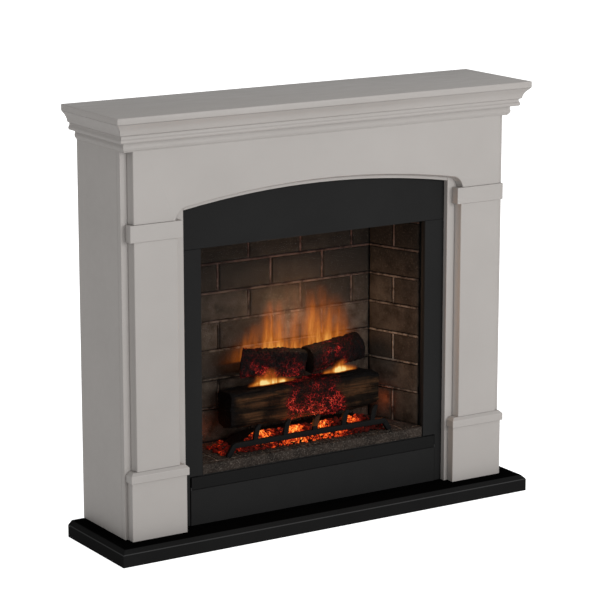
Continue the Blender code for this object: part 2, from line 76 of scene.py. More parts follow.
WALL_TURN_IN = 0.0482             # how far each side wall closes in from front to back
COURSE = 0.0698                   # brick height with its joint
FIRST_BED = 0.19                # height of the lowest bed joint
BRICK_LENGTH = 0.145              # with its joint
JOINT = 0.0075
RECESS = 0.004                   # how deep the dark bed behind the joints lies


# ---- materials
def grey(value):
    return (value, value, value)


def scaled(colour, share):
    return tuple(share * c for c in colour)


def plug(tree, socket, value):
    """Links an output to a socket, or gives the socket a value."""
    if isinstance(value, bpy.types.NodeSocket):
        tree.links.new(value, socket)
    else:
        socket.default_value = value


def add_node(tree, kind, inputs=(), **settings):
    """Adds a shader node; inputs maps sockets, by name or place, to values or outputs."""
    node = tree.nodes.new(f"ShaderNode{kind}")
    for name, value in settings.items():
        setattr(node, name, value)
    for socket, value in dict(inputs).items():
        plug(tree, node.inputs[socket], value)
    return node


class Shader:
    """One procedural material. Its methods add texture nodes and return their output sockets."""

    def __init__(self, name, colour, roughness, metallic=0.0, specular=0.5):
        self.material = bpy.data.materials.new(name)
        self.material.use_nodes = True
        self.tree = self.material.node_tree
        self.principled = self.tree.nodes["Principled BSDF"]
        self.set("Base Color", (*colour, 1.0))
        self.set("Roughness", roughness)
        self.set("Metallic", metallic)
        self.set("Specular IOR Level", specular)
        self.place = self.add("TexCoord").outputs["Object"]

    def set(self, socket, value):
        plug(self.tree, self.principled.inputs[socket], value)

    def add(self, kind, inputs=(), **settings):
        return add_node(self.tree, kind, inputs, **settings)

    def noise(self, scale, detail=4.0, roughness=0.55, stretch=None, distortion=0.0):
        place = self.place
        if stretch is not None:
            place = self.add("Mapping", {"Vector": place, "Scale": stretch}).outputs["Vector"]
        inputs = {"Vector": place, "Scale": scale, "Detail": detail}
        inputs.update({"Roughness": roughness, "Distortion": distortion})
        return self.add("TexNoise", inputs).outputs[0]

    def cells(self, scale, feature="F1", place=None):
        inputs = {"Vector": place or self.place, "Scale": scale}
        return self.add("TexVoronoi", inputs, feature=feature).outputs["Distance"]

    def height(self):
        """The point's height above the floor, in metres."""
        return self.add("SeparateXYZ", {0: self.place}).outputs["Z"]

    def facing_up(self):
        """1 where the surface is level and faces up, 0 where it is upright."""
        normal = self.add("NewGeometry").outputs["Normal"]
        return self.add("SeparateXYZ", {0: normal}).outputs["Z"]

    def crackle(self, scale, wander, width):
        """A fine irregular network: 1 on its lines and 0 between them."""
        drift = self.add("TexNoise", {"Vector": self.place, "Scale": 0.7 * scale}).outputs["Color"]
        inputs = {0: drift, 1: grey(wander), 2: self.place}
        moved = self.add("VectorMath", inputs, operation="MULTIPLY_ADD").outputs[0]
        return self.spread(self.cells(scale, "DISTANCE_TO_EDGE", moved), 0.0, width, 1.0, 0.0)

    def attribute(self, name):
        return self.add("Attribute", attribute_name=name).outputs["Fac"]

    def math(self, operation, a, b):
        return self.add("Math", {0: a, 1: b}, operation=operation).outputs[0]

    def spread(self, factor, low, high, to_low=0.0, to_high=1.0):
        """Maps a range of a factor onto another, clamped."""
        inputs = {"Value": factor, "From Min": low, "From Max": high, "To Min": to_low, "To Max": to_high}
        return self.add("MapRange", inputs).outputs["Result"]

    def ramp(self, factor, *stops):
        """A colour ramp; stops are (position, colour)."""
        node = self.add("ValToRGB", {"Fac": factor})
        elements = node.color_ramp.elements
        while len(elements) < len(stops):
            elements.new(0.5)
        for element, (position, colour) in zip(elements, stops):
            element.position = position
            element.color = (*colour, 1.0)
        return node.outputs["Color"]

    def mix(self, factor, a, b):
        """A colour between a and b, which are colours or outputs."""
        a, b = ((*c, 1.0) if isinstance(c, tuple) else c for c in (a, b))
        return self.add("Mix", {0: factor, 6: a, 7: b}, data_type="RGBA").outputs[2]

    def bump(self, height, distance, under=None):
        inputs = {"Distance": distance, "Height": height}
        if under is not None:
            inputs["Normal"] = under
        return self.add("Bump", inputs).outputs["Normal"]


def paint_shader(name, colour, shade, roughness, specular, top_shade=1.0, edge_highlight=1.0):
    """Rolled satin paint with a faint cloud and stipple. Tops get painted shade; upturned edges a painted
    highlight.
    """
    shader = Shader(name, colour, roughness, specular=specular)
    mottled = shader.mix(shader.spread(shader.noise(5.0, 3.0), 0.3, 0.7), colour, shade)
    up = shader.facing_up()
    # Painted highlight: edges that face partly up take the colour times the edge share.
    edge = shader.ramp(up, (0.1, BLACK), (0.2, WHITE), (0.54, WHITE), (0.62, BLACK))
    mottled = shader.mix(edge, mottled, scaled(colour, edge_highlight))
    # Painted shade: level tops take the shade colour times the top share.
    top = shader.spread(up, 0.8, 0.98)
    shader.set("Base Color", shader.mix(top, mottled, scaled(shade, top_shade)))
    streaks = shader.noise(60.0, 5.0, stretch=(0.25, 1.0, 1.0))
    shader.set("Roughness", shader.spread(streaks, 0.3, 0.7, roughness - 0.05, roughness + 0.07))
    stipple = shader.noise(900.0, 2.0)
    shader.set("Normal", shader.bump(stipple, 0.00006, shader.bump(streaks, 0.00005)))
    return shader.material


def brick_shader():
    """Dark firebrick: tone differs by brick, with stains and pits, and painted shade that deepens towards the
    top.
    """
    shader = Shader("firebrick", (0.06, 0.042, 0.033), 0.92, specular=0.1)
    tones = (0.0, (0.036, 0.027, 0.021)), (0.5, (0.062, 0.047, 0.036)), (1.0, (0.092, 0.069, 0.053))
    base = shader.ramp(shader.attribute("tone"), *tones)
    stain = shader.spread(shader.noise(28.0, 6.0, 0.65), 0.35, 0.68)
    stained = shader.mix(stain, base, (0.02, 0.014, 0.01))
    # Painted shade: the bricks darken from 0.44 m up to 0.61 m.
    upper_shade = shader.math("MULTIPLY", shader.spread(shader.height(), 0.44, 0.61), 0.86)
    shaded = shader.mix(upper_shade, stained, (0.0065, 0.005, 0.004))
    flecks = shader.spread(shader.noise(240.0, 5.0, 0.75), 0.54, 0.72, 0.0, 0.4)
    shader.set("Base Color", shader.mix(flecks, shaded, (0.13, 0.1, 0.075)))
    pits = shader.spread(shader.cells(160.0), 0.0, 0.35)
    grain = shader.noise(300.0, 6.0, 0.7)
    shader.set("Normal", shader.bump(grain, 0.0015, shader.bump(pits, 0.0008)))
    return shader.material


def mortar_shader(name, colour, shade_colour):
    """Crumbling mortar: pale where clean, dark with smoke stains in patches, and painted shade towards the
    top.
    """
    shader = Shader(name, colour, 0.95, specular=0.1)
    patches = shader.spread(shader.noise(34.0, 6.0, 0.7), 0.42, 0.58)
    mottled = shader.mix(patches, colour, scaled(colour, 0.16))
    shaded = shader.mix(patches, shade_colour, scaled(shade_colour, 0.3))
    # Painted shade: the mortar darkens from 0.4 m up to 0.64 m.
    upper_shade = shader.spread(shader.height(), 0.4, 0.64)
    shader.set("Base Color", shader.mix(upper_shade, mottled, shaded))
    shader.set("Normal", shader.bump(shader.noise(500.0, 5.0, 0.7), 0.0012))
    return shader.material


def stone_shader():
    """Rough stone, dark with smoke stains, with pale aggregate and ash dust on top."""
    shader = Shader("hearth_stone", (0.03, 0.025, 0.02), 0.95, specular=0.1)
    patches = shader.spread(shader.noise(35.0, 6.0, 0.65), 0.32, 0.68)
    base = shader.mix(patches, (0.036, 0.027, 0.022), (0.01, 0.008, 0.007))
    specks = shader.spread(shader.noise(260.0, 5.0, 0.8), 0.52, 0.66)
    shader.set("Base Color", shader.mix(shader.math("MULTIPLY", specks, 0.75), base, (0.15, 0.13, 0.11)))
    shader.set("Normal", shader.bump(shader.noise(380.0, 6.0, 0.7), 0.0014))
    return shader.material


def steel_shader(name, colour, roughness, metallic):
    """Sheet metal: brushed streaks along X and faint blotches."""
    shader = Shader(name, colour, roughness, metallic)
    streaks = shader.noise(180.0, 4.0, stretch=(0.06, 1.0, 1.0))
    blotches = shader.spread(shader.noise(18.0, 3.0), 0.35, 0.7)
    shader.set("Base Color", shader.mix(blotches, colour, scaled(colour, 0.72)))
    shader.set("Roughness", shader.spread(streaks, 0.3, 0.7, roughness - 0.08, roughness + 0.1))
    shader.set("Normal", shader.bump(streaks, 0.00008))
    return shader.material


def moulded_shader(name, colour, roughness, specular=0.5):
    """Moulded plastic with a fine spark-eroded grain."""
    shader = Shader(name, colour, roughness, specular=specular)
    cloud = shader.noise(40.0, 3.0)
    shader.set("Roughness", shader.spread(cloud, 0.3, 0.7, roughness - 0.04, roughness + 0.06))
    shader.set("Normal", shader.bump(shader.noise(1600.0, 2.0), 0.00005))
    return shader.material


def cast_shader():
    shader = Shader("cast_iron", grey(0.006), 0.62, specular=0.06)
    rust = shader.spread(shader.noise(60.0, 5.0, 0.7), 0.58, 0.8)
    shader.set("Base Color", shader.mix(rust, grey(0.0045), (0.014, 0.009, 0.006)))
    shader.set("Normal", shader.bump(shader.noise(520.0, 5.0, 0.7), 0.0007))
    return shader.material


def board_shader():
    """Circuit board: solder resist with faint tracks and a copper edge tone."""
    shader = Shader("circuit_board", (0.015, 0.085, 0.035), 0.35)
    tracks = shader.spread(shader.cells(120.0, "DISTANCE_TO_EDGE"), 0.02, 0.06)
    shader.set("Base Color", shader.mix(tracks, (0.05, 0.17, 0.07), (0.012, 0.07, 0.03)))
    shader.set("Normal", shader.bump(tracks, 0.00005))
    return shader.material


def raw_board_shader():
    """Bare fibreboard: fine brown fibres with paler dust."""
    shader = Shader("bare_fibreboard", (0.34, 0.24, 0.15), 0.85, specular=0.2)
    fibres = shader.noise(260.0, 6.0, 0.7, stretch=(1.0, 1.0, 3.0))
    shader.set("Base Color", shader.ramp(fibres, (0.3, (0.27, 0.18, 0.11)), (0.7, (0.42, 0.31, 0.2))))
    shader.set("Normal", shader.bump(fibres, 0.0003))
    return shader.material


def log_shader():
    """Charred wood that glows in its cracks. The mesh says where it is charred and where it is hot."""
    shader = Shader("charred_wood", (0.05, 0.032, 0.02), 0.9, specular=0.04)
    grain = shader.noise(26.0, 7.0, 0.66, stretch=(0.12, 1.6, 2.8), distortion=0.5)
    fibres = [(0.28, (0.003, 0.002, 0.002)), (0.46, (0.012, 0.008, 0.005))]
    fibres += [(0.6, (0.058, 0.028, 0.013)), (0.74, (0.007, 0.005, 0.003))]
    scorch = shader.spread(shader.noise(16.0, 4.0, 0.6), 0.46, 0.6, 0.0, 0.85)
    wood = shader.mix(scorch, shader.ramp(grain, *fibres), (0.004, 0.003, 0.0025))
    # Pale blue-grey specks: ash dust on the char, and painted glints of light on it as well.
    ash = shader.spread(shader.noise(330.0, 4.0, 0.7), 0.62, 0.74)
    ash_and_glints = shader.math("MULTIPLY", ash, shader.spread(shader.noise(40.0, 3.0), 0.45, 0.65))
    black = shader.mix(ash_and_glints, (0.004, 0.0036, 0.0036), (0.085, 0.095, 0.11))
    shader.set("Base Color", shader.mix(shader.attribute("char"), wood, black))
    hairlines = shader.math("MULTIPLY", shader.crackle(260.0, 0.006, 0.08), 0.5)
    lines = shader.math("MAXIMUM", shader.crackle(120.0, 0.012, 0.06), hairlines)
    alive = shader.spread(shader.noise(62.0, 4.0, 0.65), 0.42, 0.62, 0.05, 1.0)
    hot = shader.math("MULTIPLY", shader.math("MULTIPLY", shader.attribute("glow"), alive), lines)
    reds = (0.0, BLACK), (0.25, (0.07, 0.002, 0.002)), (0.62, (0.62, 0.018, 0.018)), (1.0, (1.0, 0.16, 0.06))
    shader.set("Emission Color", shader.ramp(hot, *reds))
    shader.set("Emission Strength", 1.1)
    fine = shader.noise(300.0, 6.0, 0.7, stretch=(0.5, 1.0, 1.0))
    shader.set("Normal", shader.bump(grain, 0.0018, shader.bump(fine, 0.0012)))
    return shader.material


def ember_shader():
    """Coals: black crust over a glow that goes from red to yellow where the mesh says it is hot."""
    shader = Shader("glowing_coals", (0.01, 0.007, 0.006), 0.95, specular=0.03)
    crust = shader.spread(shader.noise(190.0, 5.0, 0.65), 0.38, 0.6)
    bare = shader.math("SUBTRACT", 1.15, shader.math("MULTIPLY", crust, 0.75))
    glow = shader.math("MULTIPLY", shader.attribute("glow"), bare)
    heats = [(0.0, BLACK), (0.28, (0.05, 0.002, 0.001)), (0.5, (0.48, 0.03, 0.005))]
    heats += [(0.76, (1.0, 0.22, 0.025)), (1.0, (1.0, 0.56, 0.12))]
    shader.set("Emission Color", shader.ramp(glow, *heats))
    shader.set("Emission Strength", 1.5)
    shader.set("Normal", shader.bump(crust, 0.0012))
    return shader.material


def flame_shader():
    """A veil of flame: opacity and colour follow the density stored in the mesh, torn by rising noise."""
    shader = Shader("flame_veil", BLACK, 1.0, specular=0.0)
    torn = shader.spread(shader.noise(42.0, 4.0, 0.55, stretch=(1.5, 1.0, 0.28)), 0.34, 0.66, 0.42, 1.12)
    body = shader.math("MULTIPLY", shader.attribute("fire"), torn)
    heats = [(0.0, (0.42, 0.08, 0.01)), (0.45, (0.72, 0.185, 0.02))]
    heats += [(0.8, (0.88, 0.4, 0.08)), (1.0, (1.0, 0.76, 0.3))]
    shader.set("Emission Color", shader.ramp(body, *heats))
    shader.set("Emission Strength", 1.0)
    shader.set("Alpha", shader.spread(body, 0.0, 0.8, 0.0, 0.93))
    return shader.material


def acrylic_shader():
    """Smoke-tinted clear screen that carries the flame picture."""
    shader = Shader("flame_screen_acrylic", grey(0.02), 0.12, specular=0.1)
    shader.set("Alpha", shader.spread(shader.noise(9.0, 2.0), 0.3, 0.7, 0.03, 0.06))
    return shader.material


MATERIALS = {
    "painted_mdf": paint_shader("grey_paint", (0.371, 0.348, 0.331), (0.349, 0.328, 0.311), 0.48, 0.3),
    # The plinth's tops at 0.16 of its shade colour are painted shade; its upturned edges at 3.2 times are a
    # painted highlight.
    "black_mdf": paint_shader("black_plinth_paint", grey(0.012), grey(0.01), 0.5, 0.0, 0.16, 3.2),
    "black_infill": paint_shader("black_infill_coat", grey(0.0172), grey(0.0148), 0.5, 0.02),
    "flap_black": moulded_shader("flap_moulding", grey(0.0108), 0.55, 0.02),
    "bare_mdf": raw_board_shader(),
    "control_black": moulded_shader("control_moulding", grey(0.012), 0.45),
    "button_grey": moulded_shader("button_moulding", grey(0.22), 0.4),
    "casing_steel": steel_shader("black_casing_steel", grey(0.006), 0.55, 0.1),
    "zinc_steel": steel_shader("zinc_plated_steel", (0.55, 0.55, 0.57), 0.35, 1.0),
    "brick_lining": brick_shader(),
    "hearth_stone": stone_shader(),
    "cast_grate": cast_shader(),
    "charred_log": log_shader(),
    "ember_resin": ember_shader(),
    "clear_acrylic": acrylic_shader(),
    "circuit_board": board_shader(),
    "heater_bronze": steel_shader("dull_bronze", (0.45, 0.32, 0.15), 0.45, 1.0),
}
PALE_MORTAR = mortar_shader("pale_mortar", (0.24, 0.185, 0.145), (0.085, 0.055, 0.045))
WARM_MORTAR = mortar_shader("warm_mortar", (0.13, 0.098, 0.076), (0.085, 0.045, 0.036))
# The bed is near black, so in the joint gaps it is painted shadow.
BED_MORTAR = mortar_shader("bed_mortar", (0.02, 0.014, 0.011), (0.01, 0.007, 0.006))
FLAME = flame_shader()
SLOTS = {subpart["node"]: subpart["material_slot"] for subpart in frame["record"]["subparts"]}


def paint_cad_nodes():
    """Gives each CAD node the material of its slot, which the record names."""
    for node, slot in SLOTS.items():
        NODES[node].data.materials.clear()
        NODES[node].data.materials.append(MATERIALS[slot])


# ---- mesh helpers
def link(name, data):
    """Puts a new object into the scene."""
    obj = bpy.data.objects.new(name, data)
    scene.collection.objects.link(obj)
    return obj


def add_piece(name, builder, slot, replaces=(), body=SURROUND, material=None, smooth=40.0):
    """Turns a bmesh into a piece of the model that rides on a CAD body."""
    bmesh.ops.recalc_face_normals(builder, faces=builder.faces)
    mesh = bpy.data.meshes.new(name)
    builder.to_mesh(mesh)
    builder.free()
    mesh.materials.append(material or MATERIALS[slot])
    mesh.shade_smooth()
    mesh.set_sharp_from_angle(angle=math.radians(smooth))
    obj = link(name, mesh)
    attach(obj, body)
    if replaces:
        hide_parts(*replaces)
    return obj


def join_loops(builder, lower, upper):
    """A band of quads between two closed loops of vertices."""
    count = len(lower)
    for i in range(count):
        j = (i + 1) % count
        builder.faces.new((lower[i], lower[j], upper[j], upper[i]))


def skin(builder, rings):
    """Joins equal rings of vertices and closes both ends."""
    for lower, upper in zip(rings, rings[1:]):
        join_loops(builder, lower, upper)
    builder.faces.new(rings[0][::-1])
    builder.faces.new(rings[-1])


def loft(builder, rings):
    """Skins equal rings of points."""
    skin(builder, [list(map(builder.verts.new, ring)) for ring in rings])


def face_grid(builder, grid):
    """Joins a grid of vertices, given as its columns, with quads."""
    for left, right in zip(grid, grid[1:]):
        for j in range(len(left) - 1):
            builder.faces.new((left[j], right[j], right[j + 1], left[j + 1]))


def rim_of(grid):
    """The vertices round the edge of a grid, in order."""
    bottom, top = [column[0] for column in grid], [column[-1] for column in grid]
    return bottom + grid[-1][1:] + top[-2::-1] + grid[0][-2:0:-1]


def thin_body(builder, low, high, step, add_vert):
    """Two equal grids over a rectangle, joined at their rims. add_vert(layer, a, b, rim) adds each vertex."""
    columns, rows = (round((high[axis] - low[axis]) / step) for axis in (0, 1))
    grids = []
    for layer in (0, 1):
        grid = []
        for i in range(columns + 1):
            a = low[0] + (high[0] - low[0]) * i / columns
            grid.append([])
            for j in range(rows + 1):
                b = low[1] + (high[1] - low[1]) * j / rows
                grid[-1].append(add_vert(layer, a, b, min(i, j, columns - i, rows - j)))
        face_grid(builder, grid)
        grids.append(grid)
    join_loops(builder, *(rim_of(grid) for grid in grids))


def new_builder(*attributes):
    """An empty bmesh whose vertices carry the named numbers for a material to read."""
    builder = bmesh.new()
    for name in attributes:
        builder.verts.layers.float.new(name)
    return builder


def mark(builder, vert, name, value):
    vert[builder.verts.layers.float[name]] = value


def section_ring(half_a, half_b, corner):
    """A rectangle with rounded corners, as (a, b) points."""
    points = []
    for ca, cb, start in ((1, 1, 0), (-1, 1, 90), (-1, -1, 180), (1, -1, 270)):
        for step in range(4):
            angle = math.radians(start + 30 * step)
            a = ca * (half_a - corner) + corner * math.cos(angle)
            points.append((a, cb * (half_b - corner) + corner * math.sin(angle)))
    return points


def rounded_board(node, width, body=SURROUND, segments=3):
    """A copy of a CAD board with its edges rounded over, which stands for it."""
    builder = bmesh.new()
    builder.from_mesh(NODES[node].data)
    bmesh.ops.remove_doubles(builder, verts=builder.verts, dist=0.00001)
    flat = math.radians(1.0)
    bmesh.ops.dissolve_limit(builder, angle_limit=flat, verts=builder.verts, edges=builder.edges)
    obj = add_piece(f"{node}_rounded", builder, SLOTS[node], (node,), body)
    bevel = obj.modifiers.new("Rounding", "BEVEL")
    bevel.width = width
    bevel.segments = segments
    bevel.limit_method = "ANGLE"
    bevel.angle_limit = math.radians(28.0)
    bevel.harden_normals = True


def fractal(place, scale):
    return noise.fractal(place * scale, 0.9, 2.0, 4)


# ---- surround
def surround():
    pairs = ("leg_board", "side_panel", "pilaster", "impost_band", "plinth_block", "plinth_cap", "infill_side")
    widths = {"mantel_shelf": 0.0016, "arched_header": 0.001, "hearth_plinth": 0.002}
    widths.update(dict.fromkeys(("upper_rail", "lower_fascia", "infill_header", "top_back_rail"), 0.0008))
    widths.update({f"{board}_{side}": 0.001 for board in pairs for side in ("left", "right")})
    for node, width in widths.items():
        rounded_board(node, width)
    for part in ("front", "left", "right"):
        rounded_board(f"cornice_{part}", 0.0004, segments=2)
    rounded_board("control_flap", 0.0006, body="flap")


# ---- casing and controls
def turned(builder, centre, profile, count=24, flute=0.0, lobes=24):
    """Turns (radius, y) pairs round an axis along Y through the centre; flute cuts grooves into its side."""
    rings = []
    for radius, y in profile:
        ring = []
        for k in range(count):
            angle = math.tau * k / count
            r = radius - (flute * (0.5 + 0.5 * math.cos(lobes * angle)) if radius > 0.004 else 0.0)
            ring.append((centre[0] + r * math.cos(angle), y, centre[1] + r * math.sin(angle)))
        rings.append(ring)
    loft(builder, rings)


def bar(builder, start, end, half_across, half_y, corner=0.0006):
    """A straight bar in an XZ plane with rounded long edges."""
    start, end = Vector(start), Vector(end)
    across = (end - start).normalized().cross(Vector((0.0, 1.0, 0.0)))
    steps = [Vector((0.0, a, 0.0)) + across * b for a, b in section_ring(half_y, half_across, corner)]
    loft(builder, [[point + step for step in steps] for point in (start, end)])


def pan_screw(builder, x, y, z, radius=0.0036):
    """A pan head with a round recess, its head towards +Y."""
    profile = [(radius, y), (radius, y + 0.0012), (0.75 * radius, y + 0.0022)]
    profile += [(0.42 * radius, y + 0.0024), (0.34 * radius, y + 0.001)]
    turned(builder, (x, z), profile, 20)


def casing_louvres(face):
    """Two banks of pressed hoods, each over a black bar that is painted shade in its mouth."""
    hood = [(0.0, 0.005), (0.0018, 0.0036), (0.0034, -0.001)]
    hood += [(0.004, -0.0034), (0.0032, -0.004), (0.0, -0.0036)]
    stations = ((-1.0, 0.25), (-0.94, 0.75), (-0.85, 1.0), (0.85, 1.0), (0.94, 0.75), (1.0, 0.25))
    half_length, half_mouth, pitch = 0.06, 0.056, 0.016
    hoods, mouth_shades = bmesh.new(), bmesh.new()
    for x in (-0.15, 0.15):
        for k in range(10):
            z = 0.64 + pitch * k
            rings = []
            for share, size in stations:
                rings.append([(x + half_length * share, face + y * size, z + h) for y, h in hood])
            loft(hoods, rings)
            y, low = face + 0.0004, z - 0.0056
            # Painted shade: a thin black bar under each hood stands for the dark inside its opening.
            bar(mouth_shades, (x - half_mouth, y, low), (x + half_mouth, y, low), 0.0014, 0.0003, 0.0001)
    add_piece("casing_louvres", hoods, "casing_steel", smooth=50.0)
    add_piece("casing_louvre_mouths", mouth_shades, "control_black")


def casing_ribs(face):
    """A pressed frame and a slightly shallower cross in it."""
    x, bottom, top = 0.262, 0.13, 0.59
    a, b, c, d = (-x, bottom), (x, bottom), (x, top), (-x, top)
    frame_depth, cross_depth = 0.0016, 0.0013
    ribs = bmesh.new()
    for start, end in ((a, b), (d, c), (a, d), (b, c), (a, c), (d, b)):
        depth = cross_depth if (start, end) in ((a, c), (d, b)) else frame_depth
        y = face + depth
        bar(ribs, (start[0], y, start[1]), (end[0], y, end[1]), 0.0055, depth - 0.0001, 0.0009)
    add_piece("casing_ribs", ribs, "casing_steel")


def casing_screws(face):
    """Screws down both sides, along the bottom and the top, and in the back rail."""
    spots = [(side * 0.301, face, z) for z in (0.055, 0.25, 0.45, 0.64, 0.84) for side in (-1.0, 1.0)]
    spots += [(x, face, z) for x in (-0.15, 0.0, 0.15) for z in (0.055, 0.843)]
    rail_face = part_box("top_back_rail")[1].y - 0.0026
    spots += [(x, rail_face, 0.915) for x in (-0.45, -0.15, 0.15, 0.45)]
    screws = bmesh.new()
    for spot in spots:
        pan_screw(screws, *spot)
    add_piece("casing_screws", screws, "zinc_steel")


def casing_rear():
    """What is pressed into or screwed to the steel back, seen from behind."""
    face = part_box("casing_back")[1].y + 0.0002
    casing_louvres(face)
    casing_ribs(face)
    casing_screws(face)


def inlet():
    """An appliance inlet: a rimmed housing with a deep socket and three flat pins."""
    low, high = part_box("mains_inlet")
    middle = (low + high) / 2.0
    profile = [(0.0138, 0.0108, low.y), (0.0138, 0.0108, high.y - 0.0022), (0.0128, 0.0098, high.y - 0.0006)]
    profile += [(0.0112, 0.0084, high.y - 0.0004), (0.0106, 0.0078, low.y + 0.0012)]
    builder, pins = bmesh.new(), bmesh.new()
    rings = []
    for half_x, half_z, y in profile:
        rings.append([(middle.x + a, y, middle.z + b) for a, b in section_ring(half_x, half_z, 0.0022)])
    loft(builder, rings)
    for dx, dz in ((-0.0055, -0.0015), (0.0, 0.0022), (0.0055, -0.0015)):
        x, y, z = middle.x + dx, middle.y + 0.0006, middle.z + dz
        bar(pins, (x, y, z - 0.002), (x, y, z + 0.002), 0.0009, 0.0012, 0.0003)
    add_piece("mains_inlet_socket", builder, "control_black", ("mains_inlet",))
    add_piece("mains_inlet_pins", pins, "zinc_steel")


def thermostat():
    """A fluted knob with a pointer, and its tick scale on the control strip."""
    low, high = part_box("thermostat_knob")
    x, z = 0.5 * (low.x + high.x), 0.5 * (low.z + high.z)
    skirt = -0.0441
    profile = [(0.0025, high.y), (0.0025, skirt), (0.0078, skirt), (0.0078, low.y + 0.0012)]
    profile += [(0.007, low.y), (0.0045, low.y + 0.0003)]
    knob, pointer, ticks = bmesh.new(), bmesh.new(), bmesh.new()
    turned(knob, (x, z), profile, 144, 0.0005)
    add_piece("thermostat_knob_fluted", knob, "control_black", ("thermostat_knob",), "knob", smooth=30.0)
    y = low.y + 0.0002
    bar(pointer, (x, y, z + 0.0015), (x, y, z + 0.0062), 0.0006, 0.0002, 0.0001)
    add_piece("thermostat_pointer", pointer, "button_grey", body="knob")
    hub = Vector((x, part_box("control_strip")[0].y - 0.0002, z))
    for k in range(11):
        angle = math.radians(220.0 - 26.0 * k)
        way = Vector((math.cos(angle), 0.0, math.sin(angle)))
        bar(ticks, hub + way * 0.0092, hub + way * 0.0106, 0.00025, 0.00008, 0.00003)
    add_piece("thermostat_ticks", ticks, "button_grey")


def board_parts():
    """Blocks and round capacitors on the control board."""
    low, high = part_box("control_board")
    blocks, metal = bmesh.new(), bmesh.new()
    rng = random.Random(5)
    y = high.y
    for k in range(9):
        x = low.x + 0.012 + 0.0165 * k
        z = rng.uniform(0.134, 0.146)
        size = rng.uniform(0.0022, 0.0045)
        if k % 3 == 0:
            turned(metal, (x, z), [(size, y + 0.0002), (size, y + 0.007), (0.8 * size, y + 0.0076)], 20)
        else:
            bar(blocks, (x - size, y + 0.0028, z), (x + size, y + 0.0028, z), size, 0.0025)
    add_piece("board_blocks", blocks, "control_black")
    add_piece("board_capacitors", metal, "zinc_steel")


def controls():
    """Knob, buttons, board parts, and black bars behind the flap's ends that fill their gaps as painted shade.
    """
    thermostat()
    for node in ("flame_button", "heat_button"):
        rounded_board(node, 0.0009, node)
    board_parts()
    # Painted shade: black bars fill the gaps at the flap's ends, where light would show through.
    gap_shades = bmesh.new()
    for x in (-0.3372, 0.3372):
        bar(gap_shades, (x, -0.0415, 0.045), (x, -0.0415, 0.186), 0.0222, 0.0016)
    add_piece("flap_end_seals", gap_shades, "black_infill")


# ---- brick lining
class Wall:
    """A vertical wall inside the firebox: u runs along it, z is the height, depth comes towards the viewer."""

    def __init__(self, start, end, flip):
        self.start = Vector(start)
        along = Vector(end) - self.start
        self.length = along.length
        self.along = along.normalized()
        self.normal = Vector((-self.along.y, self.along.x)) * (-1.0 if flip else 1.0)

    def point(self, u, z, depth):
        flat = self.start + self.along * u + self.normal * depth
        return Vector((flat.x, flat.y, z))


def brick_steps(low, high, count):
    """Places across a brick's face: close together at both rims, even between them."""
    rim = (0.0, 0.001, 0.003)
    inner = [low + rim[-1] + (high - low - 2 * rim[-1]) * i / count for i in range(1, count)]
    return [low + r for r in rim] + inner + [high - r for r in reversed(rim)]


def add_brick(builder, wall, low, high, tone):
    """One brick with worn rims, a rough face and a flat back bedded in the mortar."""
    rim_depth = {0: -0.0022, 1: -0.0007}
    us = brick_steps(low[0], high[0], max(3, round((high[0] - low[0]) / 0.012)))
    zs = brick_steps(low[1], high[1], 5)
    grid = []
    for i, u in enumerate(us):
        grid.append([])
        for j, z in enumerate(zs):
            border = min(i, j, len(us) - 1 - i, len(zs) - 1 - j)
            place = wall.point(u, z, 0.0)
            relief = 0.0016 * fractal(place, 75.0) - 0.0006 + rim_depth.get(border, 0.0)
            wobble = 0.0007 * noise.noise(place * 90.0) if border < 2 else 0.0
            grid[-1].append(builder.verts.new(wall.point(u + wobble, z + wobble, min(relief, 0.0))))
    face_grid(builder, grid)
    rim = rim_of(grid)
    back = [builder.verts.new(vert.co - Vector((*wall.normal, 0.0)) * 0.004) for vert in rim]
    join_loops(builder, back, rim)
    builder.faces.new(back)
    for vert in sum(grid, back):
        mark(builder, vert, "tone", tone)


def brick_wall(name, wall, joint_offsets, replaces, mortar, seed):
    """Bricks laid in courses over a mortar bed; joint_offsets places the upright joints of two courses."""
    random.seed(seed)
    bottom, top, half = BACK_LOW.z, BACK_HIGH.z, 0.5 * JOINT
    beds = [FIRST_BED + COURSE * k for k in range(1, 8)]
    beds = [bottom - half, *(z for z in beds if z < top - 0.004), top + half]
    builder, beads = new_builder("tone"), bmesh.new()
    for course, (below, above) in enumerate(zip(beds, beds[1:])):
        low, high = below + half, above - half
        joints = [joint_offsets[course % 2] + BRICK_LENGTH * k for k in range(-5, 6)]
        ends = [0.0, *(u for u in joints if 0.012 < u < wall.length - 0.012), wall.length]
        for start, end in zip(ends, ends[1:]):
            left = start + (half if start > 0.0 else 0.0002)
            right = end - (half if end < wall.length else 0.0002)
            add_brick(builder, wall, (left, low), (right, high), random.random())
            if start > 0.0:
                mortar_bead(beads, wall, (start - 0.0011, low), (start - 0.0011, high))
        if course > 0:
            # Each bed bead sits to one side of its joint, by the fire's height, so the dark bed shows as a
            # painted shadow line on the other side.
            z = below - (0.0011 if below > 0.33 else -0.0011)
            mortar_bead(beads, wall, (0.0006, z), (wall.length - 0.0006, z))
    add_piece(f"{name}_bricks", builder, "brick_lining", replaces, smooth=60.0)
    add_piece(f"{name}_joints", beads, "brick_lining", material=mortar, smooth=70.0)
    mortar_bed(f"{name}_bed", wall, bottom, top)


